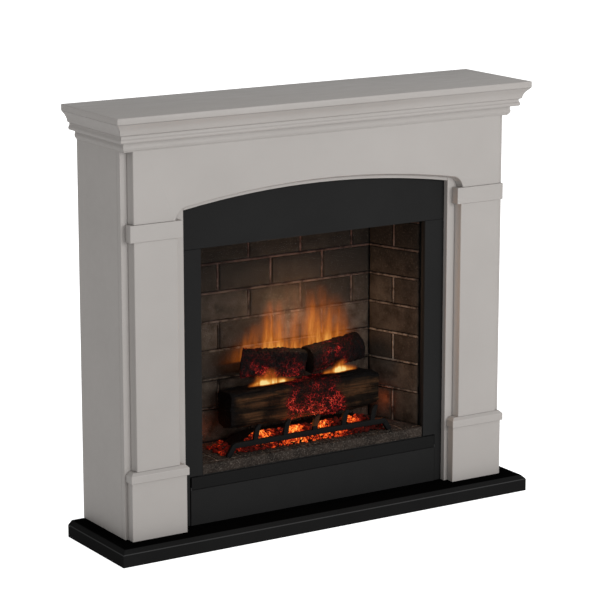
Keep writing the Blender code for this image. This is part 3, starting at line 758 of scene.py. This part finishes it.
def mortar_bead(builder, wall, start, end):
    """Pointing raised along one joint, with a rough rounded face. The near-black bed shows beside it as
    painted shadow.
    """
    start, end = Vector(start), Vector(end)
    along = (end - start).normalized()
    across = Vector((-along.y, along.x))
    steps = max(4, round((end - start).length / 0.005))
    section = [(-0.0023, -0.0046), (-0.0023, -0.0022), (-0.0014, -0.0009), (0.0, -0.0004)]
    section += [(-a, depth) for a, depth in section[2::-1]]
    rings = []
    for i in range(steps + 1):
        middle = start.lerp(end, i / steps)
        ring = []
        for a, depth in section:
            place = middle + across * a
            rough = 0.0007 * noise.noise(wall.point(place.x, place.y, depth) * 170.0)
            place += across * rough
            ring.append(wall.point(place.x, place.y, min(depth + rough, -0.0001)))
        rings.append(ring)
    loft(builder, rings)


def mortar_bed(name, wall, bottom, top):
    """The dark slab behind the bricks, with a rough face deep in their joints; its near-black is painted
    shadow there.
    """
    builder = bmesh.new()

    def add_vert(layer, u, z, _):
        rough = -RECESS + 0.0006 * noise.noise(wall.point(u, z, 0.0) * 140.0)
        return builder.verts.new(wall.point(u, z, -0.0068 if layer else rough))

    thin_body(builder, (0.0004, bottom), (wall.length - 0.0004, top), 0.01, add_vert)
    add_piece(name, builder, "brick_lining", material=BED_MORTAR, smooth=70.0)


def brick_lining():
    back_x, front_x = SIDE_LOW.x, SIDE_LOW.x + WALL_TURN_IN
    front_y, back_y = SIDE_LOW.y, SIDE_HIGH.y
    back = Wall((-back_x, BACK_LOW.y), (back_x, BACK_LOW.y), flip=True)
    right = Wall((front_x, front_y), (back_x, back_y), flip=False)
    left = Wall((-front_x, front_y), (-back_x, back_y), flip=True)
    brick_wall("back_wall", back, (0.0263, 0.0873), ("brick_back",), WARM_MORTAR, 11)
    brick_wall("right_wall", right, (0.075, 0.0), ("brick_side_right",), PALE_MORTAR, 12)
    brick_wall("left_wall", left, (0.075, 0.0), ("brick_side_left",), PALE_MORTAR, 13)


# ---- hearth
def rough_slab(name, low, high, step, relief, replaces=(), material=None):
    """A stone slab with roughened faces; its rims are worn round."""
    builder = bmesh.new()
    bmesh.ops.create_cube(builder, size=1.0)
    size = Vector(high) - Vector(low)
    middle = (Vector(high) + Vector(low)) / 2.0
    for vert in builder.verts:
        vert.co = vert.co * size + middle
    for axis in range(3):
        cuts = max(1, round(size[axis] / step)) - 1
        along = [e for e in builder.edges if abs((e.verts[0].co - e.verts[1].co)[axis]) > 0.9 * size[axis]]
        if cuts > 0:
            bmesh.ops.subdivide_edges(builder, edges=along, cuts=cuts, use_grid_fill=True)
    for vert in builder.verts:
        rim = [min(vert.co[a] - low[a], high[a] - vert.co[a]) for a in range(3)]
        on_rim = sum(1 for r in rim if r < 0.0001) >= 2
        inward = (middle - vert.co).normalized()
        depth = relief * (0.5 + fractal(vert.co, 90.0)) + (1.2 * relief if on_rim else 0.0)
        flat = Vector([inward[a] if rim[a] < 0.0001 else 0.0 for a in range(3)])
        if flat.length > 0.0:
            vert.co += flat.normalized() * max(0.0, depth)
    add_piece(name, builder, "hearth_stone", replaces, material=material, smooth=55.0)


def hearth():
    """A front ledge, pavers behind it with pale joints, and a mortar bed under them."""
    low, high = SLAB_LOW, SLAB_HIGH
    half, ledge_back = 0.3064, low.y + 0.016
    corners = (-half, low.y, low.z), (half, ledge_back, high.z)
    rough_slab("hearth_ledge", *corners, 0.004, 0.0008, ("hearth_slab",))
    half, front, bed_top = 0.3117, ledge_back + 0.0004, high.z - 0.0014
    corners = (-half, front, low.z), (half, BACK_LOW.y - 0.0004, bed_top)
    rough_slab("hearth_bed", *corners, 0.012, 0.0004, material=PALE_MORTAR)
    edges_x = [-0.311, *(-0.256 + 0.064 * k for k in range(9)), 0.311]
    edges_y = [front, 0.012, BACK_LOW.y - 0.001]
    gap = 0.0016
    for row, (y0, y1) in enumerate(zip(edges_y, edges_y[1:])):
        for column, (x0, x1) in enumerate(zip(edges_x, edges_x[1:])):
            corners = (x0 + gap, y0 + gap, bed_top - 0.001), (x1 - gap, y1 - gap, high.z)
            rough_slab(f"hearth_paver_{row}_{column}", *corners, 0.006, 0.0007)


# ---- logs
def even_outline(corners, count, softening):
    """Points spaced evenly round a closed outline, with its corners softened."""
    corners = [Vector(corner) for corner in corners]
    sides = [(start, end, (end - start).length) for start, end in zip(corners, corners[1:] + corners[:1])]
    total = sum(length for _, _, length in sides)
    points = []
    for k in range(count):
        target = total * k / count
        for start, end, length in sides:
            if target <= length:
                points.append(start.lerp(end, target / length))
                break
            target -= length
    for _ in range(softening):
        points = [(points[k - 1] + points[k] * 2.0 + points[(k + 1) % count]) / 4.0 for k in range(count)]
    return points


def smoothstep(low, high, value):
    share = min(1.0, max(0.0, (value - low) / (high - low)))
    return share * share * (3.0 - 2.0 * share)


def crack_depth(place, size):
    """0 in the middle of a crack between blocks of char, rising to 1 on a block."""
    distances, _ = noise.voronoi(place / size)
    return min(1.0, (distances[1] - distances[0]) * 2.2)


def stretched_noise(place, along, around):
    return noise.noise(Vector((place.x * along, place.y * around, place.z * around)))


def log_piece(name, node, start, end, outline, looks, steps, around, slant=0.0):
    """A log skinned along an axis. looks(s, place, size) gives (relief, char, glow) at a point."""
    start, end = Vector(start), Vector(end)
    along, length = (end - start).normalized(), (end - start).length
    across = Vector((0.0, 1.0, 0.0))
    up = along.cross(across) * -1.0
    section = even_outline(outline, around, 5)
    cap = (0.04, 0.25, 0.5, 0.75, 0.93)
    stations = [(0.0, size) for size in cap]
    stations += [(i / steps, 1.0) for i in range(steps + 1)]
    stations += [(1.0, size) for size in reversed(cap)]
    builder = new_builder("char", "glow")
    rings = []
    for s, size in stations:
        ring = []
        for a, b in section:
            oblique = slant * a * size * (1.0 - s)
            bare = start + along * (length * s + oblique) + across * (a * size) + up * (b * size)
            relief, charred, hot = looks(s, bare, size)
            outward = (across * a + up * b).normalized()
            dome = 0.0
            if size < 1.0:
                dome = (0.003 * (1.0 - size) + 0.0016 * fractal(bare, 120.0)) * (-1.0 if s == 0.0 else 1.0)
            vert = builder.verts.new(bare + outward * relief * size + along * dome)
            mark(builder, vert, "char", charred)
            mark(builder, vert, "glow", hot)
            ring.append(vert)
        rings.append(ring)
    skin(builder, rings)
    add_piece(name, builder, "charred_log", (node,), smooth=80.0)


def main_log_looks(s, place, size):
    """Split wood at both ends, black char with glowing cracks in the middle, widest at the bottom."""
    edge = 0.016 * noise.noise(place * 26.0)
    x = place.x + edge
    spread = 0.016 * smoothstep(0.31, 0.225, place.z)
    middle = smoothstep(-0.038 - 0.4 * spread, -0.014 - 0.4 * spread, x)
    middle *= 1.0 - smoothstep(0.104 + spread, 0.128 + spread, x)
    crest = smoothstep(0.302, 0.31, place.z + 0.3 * edge)
    blocks = crack_depth(place + Vector((0.0, 0.0, 0.006 * noise.noise(place * 40.0))), 0.0085)
    grain = abs(stretched_noise(place, 5.0, 75.0))
    wood = -0.0035 * (1.0 - smoothstep(0.0, 0.16, grain)) + 0.001 * fractal(place, 90.0)
    lumps = 0.0035 * fractal(place, 26.0)
    char = -0.003 * (1.0 - blocks) + lumps
    ends = 0.007 * smoothstep(0.9, 1.0, s) + 0.004 * smoothstep(0.1, 0.0, s)
    sway = 0.0045 * (stretched_noise(place, 9.0, 6.0) - 0.2)
    relief = (1.0 - middle) * (wood + 0.4 * lumps) + middle * char + min(0.0, sway) - ends - 0.0025
    glow = middle * (0.5 + 0.75 * smoothstep(0.32, 0.235, place.z) + 0.6 * noise.noise(place * 30.0))
    end_char = 0.9 * (1.0 - smoothstep(0.0, 0.05, s))
    return relief, max(middle, 0.85 * crest, end_char, 0.0 if size == 1.0 else 0.95), max(0.0, glow)


def all_char(relief, glow, size):
    """A log that is char all over, whose cut ends don't glow."""
    return relief - 0.002, 1.0, max(0.0, glow) if size == 1.0 else 0.0


def upper_left_looks(s, place, size):
    """Alligator char with red cracks, hottest low down near its middle."""
    fissure = smoothstep(0.0, 0.1, abs(stretched_noise(place, 18.0, 80.0)))
    crack = 1.0 - crack_depth(place, 0.0075)
    relief = -0.003 * crack - 0.002 * (1.0 - fissure) + 0.003 * fractal(place, 28.0)
    low = smoothstep(0.385, 0.34, place.z)
    near = math.exp(-((place.x + 0.08) / 0.05) ** 2)
    glow = 0.2 + 0.45 * low + 0.75 * near * low + 0.5 * noise.noise(place * 24.0)
    return all_char(relief, glow, size)


def upper_right_looks(s, place, size):
    """Char split by fine grooves across the grain, glowing in streaks along the front."""
    ribs = smoothstep(0.0, 0.2, abs(stretched_noise(place, 85.0, 16.0)))
    crack = 1.0 - crack_depth(place, 0.0105)
    relief = -0.0024 * (1.0 - ribs) - 0.0018 * crack + 0.0026 * fractal(place, 28.0)
    streak = math.exp(-((place.x - 0.11) / 0.05) ** 2)
    glow = streak * (0.55 + 0.8 * noise.noise(place * 26.0))
    return all_char(relief, glow, size)


def logs():
    fine = 1.0
    middle = (LOG_LOW + LOG_HIGH) / 2.0
    start, end = (LOG_LOW.x + 0.002, middle.y, middle.z), (LOG_HIGH.x - 0.002, middle.y, middle.z)
    split = [(-0.0375, 0.034), (-0.026, 0.0455), (0.012, 0.0515), (0.036, 0.04)]
    split += [(0.0375, -0.04), (0.026, -0.05), (-0.026, -0.05), (-0.0375, -0.044)]
    detail = round(230 * fine), round(190 * fine)
    log_piece("main_log_split", "main_log", start, end, split, main_log_looks, *detail)
    start, end = (-0.136, 0.058, 0.377), (0.024, 0.058, 0.3585)
    block = [(-0.034, -0.029), (-0.035, 0.027), (-0.026, 0.035), (0.023, 0.035)]
    block += [(0.035, 0.021), (0.03, -0.025), (0.006, -0.035), (-0.025, -0.035)]
    detail = round(110 * fine), round(140 * fine)
    node = "upper_log_left"
    log_piece(f"{node}_charred", node, start, end, block, upper_left_looks, *detail, slant=0.6)
    start, end = (0.046, 0.058, 0.3585), (0.19, 0.058, 0.3745)
    angles = [math.radians(angle) for angle in range(0, 360, 20)]
    circle = [(0.0365 * math.cos(angle), 0.0365 * math.sin(angle)) for angle in angles]
    detail = round(100 * fine), round(130 * fine)
    node = "upper_log_right"
    log_piece(f"{node}_charred", node, start, end, circle, upper_right_looks, *detail)


# ---- embers
PRONGS = [0.013 + 0.0815 * k for k in range(-2, 3)]
HOT_PATCHES = [(0.5 * (a + b), hot) for a, b, hot in zip(PRONGS, PRONGS[1:], (0.78, 1.0, 0.82, 0.58))]


def bump_at(x, middle, width, power=2):
    """1 at the middle, falling to 0 within about a width and a half."""
    return math.exp(-((x - middle) / width) ** power)


def add_chunk(builder, place, size, heat, rng):
    """One coal: a small faceted lump turned at random."""
    made = bmesh.ops.create_icosphere(builder, subdivisions=1, radius=1.0)
    stretch = Vector((rng.uniform(0.8, 1.4), rng.uniform(0.7, 1.1), rng.uniform(0.55, 0.9))) * size
    turn = rng.uniform(0.0, math.tau)
    cos, sin = math.cos(turn), math.sin(turn)
    for vert in made["verts"]:
        lump = vert.co * (1.0 + 0.35 * noise.noise(vert.co * 1.7 + place * 300.0)) * stretch
        vert.co = place + Vector((lump.x * cos - lump.y * sin, lump.x * sin + lump.y * cos, lump.z))
        mark(builder, vert, "glow", heat)


def ember_bed():
    """A lumpy tray under the log, covered in coals that glow brightest behind the grate."""
    rng = random.Random(21)
    low, high = BED_LOW, BED_HIGH
    foot, back_y = low.z + 0.0005, high.y - 0.002
    slope = [(low.y + 0.003, foot), (low.y + 0.003, 0.19), (low.y + 0.012, 0.203)]
    slope += [(0.01, 0.2085), (back_y, 0.209), (back_y, foot)]
    stations = [(low.x + 0.004, 0.2), (low.x + 0.03, 0.72), (low.x + 0.052, 0.95)]
    stations += [(high.x - 0.052, 0.95), (high.x - 0.03, 0.72), (high.x - 0.004, 0.2)]
    rings = []
    for x, size in stations:
        rings.append([(x, y + 0.012 * (1.0 - size), low.z + (z - low.z) * size) for y, z in slope])
    builder = new_builder("glow")
    loft(builder, rings)
    for _ in range(620):
        x = rng.uniform(low.x + 0.006, high.x - 0.006)
        back = rng.random() ** 1.5
        y = low.y + 0.006 + 0.034 * back
        ends = smoothstep(0.0, 0.045, min(x - low.x, high.x - x))
        z = 0.183 + 0.008 * ends + 0.021 * ends * min(1.0, back * 2.2) + rng.uniform(-0.005, 0.003)
        patches = sum(hot * bump_at(x, middle, 0.024) for middle, hot in HOT_PATCHES)
        heat = 0.16 + 0.8 * patches + 0.16 * smoothstep(-0.105, -0.15, x) + rng.uniform(-0.2, 0.14)
        add_chunk(builder, Vector((x, y, z)), rng.uniform(0.0032, 0.0068), heat, rng)
    for _ in range(260):
        x = rng.uniform(low.x + 0.006, high.x - 0.006)
        heat = 0.16 + 0.48 * bump_at(x, 0.005, 0.105, 4) + rng.uniform(-0.18, 0.14)
        place = Vector((x, low.y + rng.uniform(0.001, 0.006), rng.uniform(0.181, 0.194)))
        add_chunk(builder, place, rng.uniform(0.0028, 0.0052), heat, rng)
    add_piece("ember_bed_coals", builder, "ember_resin", ("ember_bed",), smooth=25.0)


def loose_coals():
    """Red coals beside the log on the left, and ash crumbs along the ledge."""
    rng = random.Random(34)
    coals, crumbs = new_builder("glow"), new_builder("glow")
    for _ in range(70):
        x = max(-0.232, min(-0.166, rng.gauss(-0.196, 0.018)))
        y = rng.uniform(-0.012, 0.014 if x > -0.192 else 0.06)
        size = rng.uniform(0.003, 0.0062)
        pile = 0.014 * bump_at(x, -0.19, 0.018) * rng.random()
        add_chunk(coals, Vector((x, y, SLAB_HIGH.z + 0.6 * size + pile)), size, rng.uniform(0.16, 0.44), rng)
    for _ in range(170):
        x = rng.gauss(0.075, 0.11)
        if abs(x) > 0.285:
            continue
        y = rng.uniform(-0.049, -0.034)
        size = rng.uniform(0.001, 0.003)
        add_chunk(crumbs, Vector((x, y, SLAB_HIGH.z + 0.4 * size)), size, 0.0, rng)
    add_piece("loose_coals_left", coals, "ember_resin", smooth=25.0)
    add_piece("ash_crumbs", crumbs, "hearth_stone", smooth=25.0)


# ---- grate
def grate():
    """A cast bar on two splayed feet, with five prongs that lean towards the room."""
    bar_y = 0.5 * (GRATE_LOW.y + GRATE_HIGH.y)
    bar_z, bar_half_z = 0.2052, 0.0065
    foot, knee = GRATE_HIGH.x - 0.0062, GRATE_HIGH.x - 0.0225
    path = [(-foot, GRATE_LOW.z + 0.0002), (-knee - 0.0012, bar_z - 0.0015), (-knee + 0.002, bar_z)]
    path += [(-knee + 2 * knee * i / 12, bar_z) for i in range(1, 12)]
    path += [(-x, z) for x, z in reversed(path[:3])]
    section = section_ring(0.0048, bar_half_z, 0.0012)
    rings = []
    for k, (x, z) in enumerate(path):
        before, after = path[max(0, k - 1)], path[min(len(path) - 1, k + 1)]
        direction = Vector((after[0] - before[0], after[1] - before[1])).normalized()
        rings.append([(x - direction.y * b, bar_y + a, z + direction.x * b) for a, b in section])
    builder = bmesh.new()
    loft(builder, rings)
    add_piece("fire_grate_bar", builder, "cast_grate", ("fire_grate",), smooth=50.0)
    for k, x in enumerate(PRONGS):
        prong(f"grate_prong_{k + 1}", x, bar_y, bar_z + bar_half_z - 0.001)


def prong(name, x, y, foot_z):
    """An upright that leans forwards and ends in a narrow hook."""
    height, steps = 0.0375, 12
    rings = []
    for k in range(steps + 1):
        share = k / steps
        hook = max(0.0, share - 0.7) / 0.3
        width = 0.0064 + 0.0008 * share - 0.0038 * hook ** 3
        place = Vector((x - 0.001 + 0.004 * share + 0.004 * hook, y - 0.0045 * share, foot_z + height * share))
        rings.append([place + Vector((b, a, 0.0)) for a, b in section_ring(0.0038, width, 0.0012)])
    builder = bmesh.new()
    loft(builder, rings)
    add_piece(name, builder, "cast_grate", smooth=50.0)


# ---- flames
def tongue(x, z, foot, base, tip, width, lean, strength):
    """How dense one tongue of flame is at (x, z). It stands at foot, from base to tip, and leans sideways."""
    share = (z - base) / (tip - base)
    if share < -0.25 or share > 1.0:
        return 0.0
    share = max(0.0, share)
    middle = foot + lean * share ** 1.3
    return strength * (1.0 - share) ** 0.85 * bump_at(x, middle, width * (1.0 - 0.62 * share))


def veil(name, tongues, low, high, y, peak, step):
    """A thin sheet that carries the tongues: the mesh stores how dense the flame is at each point."""
    builder = new_builder("fire")

    def add_vert(layer, x, z, rim):
        vert = builder.verts.new((x, y + 0.0004 * layer, z))
        if layer == 0:
            total = sum(tongue(x, z, *numbers) for numbers in tongues)
            mark(builder, vert, "fire", peak * (1.0 - math.exp(-total / peak)) * min(1.0, rim / 4.0))
        return vert

    thin_body(builder, low, high, step, add_vert)
    add_piece(name, builder, "clear_acrylic", material=FLAME, smooth=80.0).visible_shadow = False


def flames():
    """Tongues of flame, each as (foot, base, tip, width, lean, strength)."""
    behind = [
        (-0.090, 0.384, 0.456, 0.036, 0.020, 0.55),
        (-0.036, 0.384, 0.508, 0.026, 0.004, 0.95),
        (-0.004, 0.384, 0.506, 0.024, -0.002, 0.60),
        (0.044, 0.386, 0.478, 0.034, 0.000, 0.50),
        (0.090, 0.384, 0.520, 0.024, -0.008, 0.95),
        (0.128, 0.384, 0.528, 0.034, -0.018, 0.85),
        (0.164, 0.388, 0.502, 0.032, -0.010, 0.62),
        (0.040, 0.372, 0.406, 0.115, 0.000, 0.55),
        (0.040, 0.380, 0.560, 0.130, 0.000, 0.08),
    ]
    left = [
        (-0.085, 0.331, 0.366, 0.022, 0.004, 1.3),
        (-0.076, 0.3285, 0.3395, 0.046, 0.0, 2.4),
        (-0.110, 0.333, 0.352, 0.012, -0.008, 1.0),
    ]
    right = [(0.108, 0.333, 0.36, 0.018, 0.014, 1.3), (0.11, 0.3315, 0.344, 0.038, 0.012, 2.2)]
    veil("flame_picture", behind, (-0.2, 0.34), (0.23, 0.56), 0.1012, 0.95, 0.0025)
    veil("flame_lick_left", left, (-0.145, 0.318), (-0.012, 0.375), 0.0178, 1.45, 0.002)
    veil("flame_lick_right", right, (0.06, 0.318), (0.165, 0.368), 0.0178, 1.45, 0.002)


# ---- studio
def stage():
    """A pale floor and an even white world. The camera sees both at full white."""
    half, drop = 30.0, 0.0002
    mesh = bpy.data.meshes.new("studio_floor")
    corners = (-half, -half, 0.0), (half, -half, 0.0), (half, half, 0.0), (-half, half, 0.0)
    mesh.from_pydata(corners, [], [(0, 1, 2, 3)])
    floor = link("studio_floor", mesh)
    floor.location.z = -drop
    pale = Shader("pale_floor", grey(0.6), 0.9, specular=0.0)
    pale.set("Emission Color", (*WHITE, 1.0))
    seen = pale.add("LightPath").outputs["Is Camera Ray"]
    pale.set("Emission Strength", pale.spread(seen, 0.0, 1.0, FLOOR_BOUNCE, BACKGROUND))
    mesh.materials.append(pale.material)
    world = scene.world = bpy.data.worlds.new("studio")
    world.use_nodes = True
    tree = world.node_tree
    sky = tree.nodes["Background"].inputs
    sky["Color"].default_value = (*WHITE, 1.0)
    seen = add_node(tree, "LightPath").outputs["Is Camera Ray"]
    strength = add_node(tree, "MapRange", {"Value": seen, "To Min": AMBIENT, "To Max": BACKGROUND})
    plug(tree, sky["Strength"], strength.outputs["Result"])


def add_light(kind, name, place, power, colour):
    light = link(name, bpy.data.lights.new(name, kind))
    light.data.energy = power
    light.data.color = colour
    light.visible_camera = False
    light.location = place
    return light


def area_light(name, place, target, size, power, colour=WHITE):
    light = add_light("AREA", name, place, power, colour)
    light.data.shape = "DISK"
    light.data.size = size
    light.rotation_euler = (Vector(target) - Vector(place)).to_track_quat("-Z", "Y").to_euler()


def point_light(name, place, radius, power, colour):
    add_light("POINT", name, place, power, colour).data.shadow_soft_size = radius


def lights():
    area_light("front_softbox", (1.6, -5.2, 1.9), (0.0, 0.0, 0.5), 3.2, 168.0)
    area_light("bed_glow", (0.02, -0.004, 0.222), (0.02, -0.03, 0.9), 0.12, 0.25, (1.0, 0.3, 0.06))
    point_light("fire_glow", (0.03, 0.03, 0.475), 0.03, 1.25, (1.0, 0.6, 0.32))
    point_light("low_glow_left", (-0.215, 0.085, 0.215), 0.012, 0.03, (1.0, 0.2, 0.04))
    point_light("low_glow_right", (0.256, 0.055, 0.232), 0.012, 0.035, (1.0, 0.22, 0.05))


def camera():
    obj = link("camera", bpy.data.cameras.new("camera"))
    obj.data.lens = CAMERA_LENS
    obj.data.clip_end = 100.0
    obj.location = CAMERA_PLACE
    obj.rotation_euler = (math.radians(90.0 - CAMERA_PITCH), 0.0, math.radians(-CAMERA_HEADING))
    bpy.context.scene.camera = obj


camera()
stage()
lights()
paint_cad_nodes()
surround()
casing_rear()
inlet()
controls()
brick_lining()
hearth()
logs()
ember_bed()
loose_coals()
grate()
flames()
scene.view_settings.view_transform = "Standard"
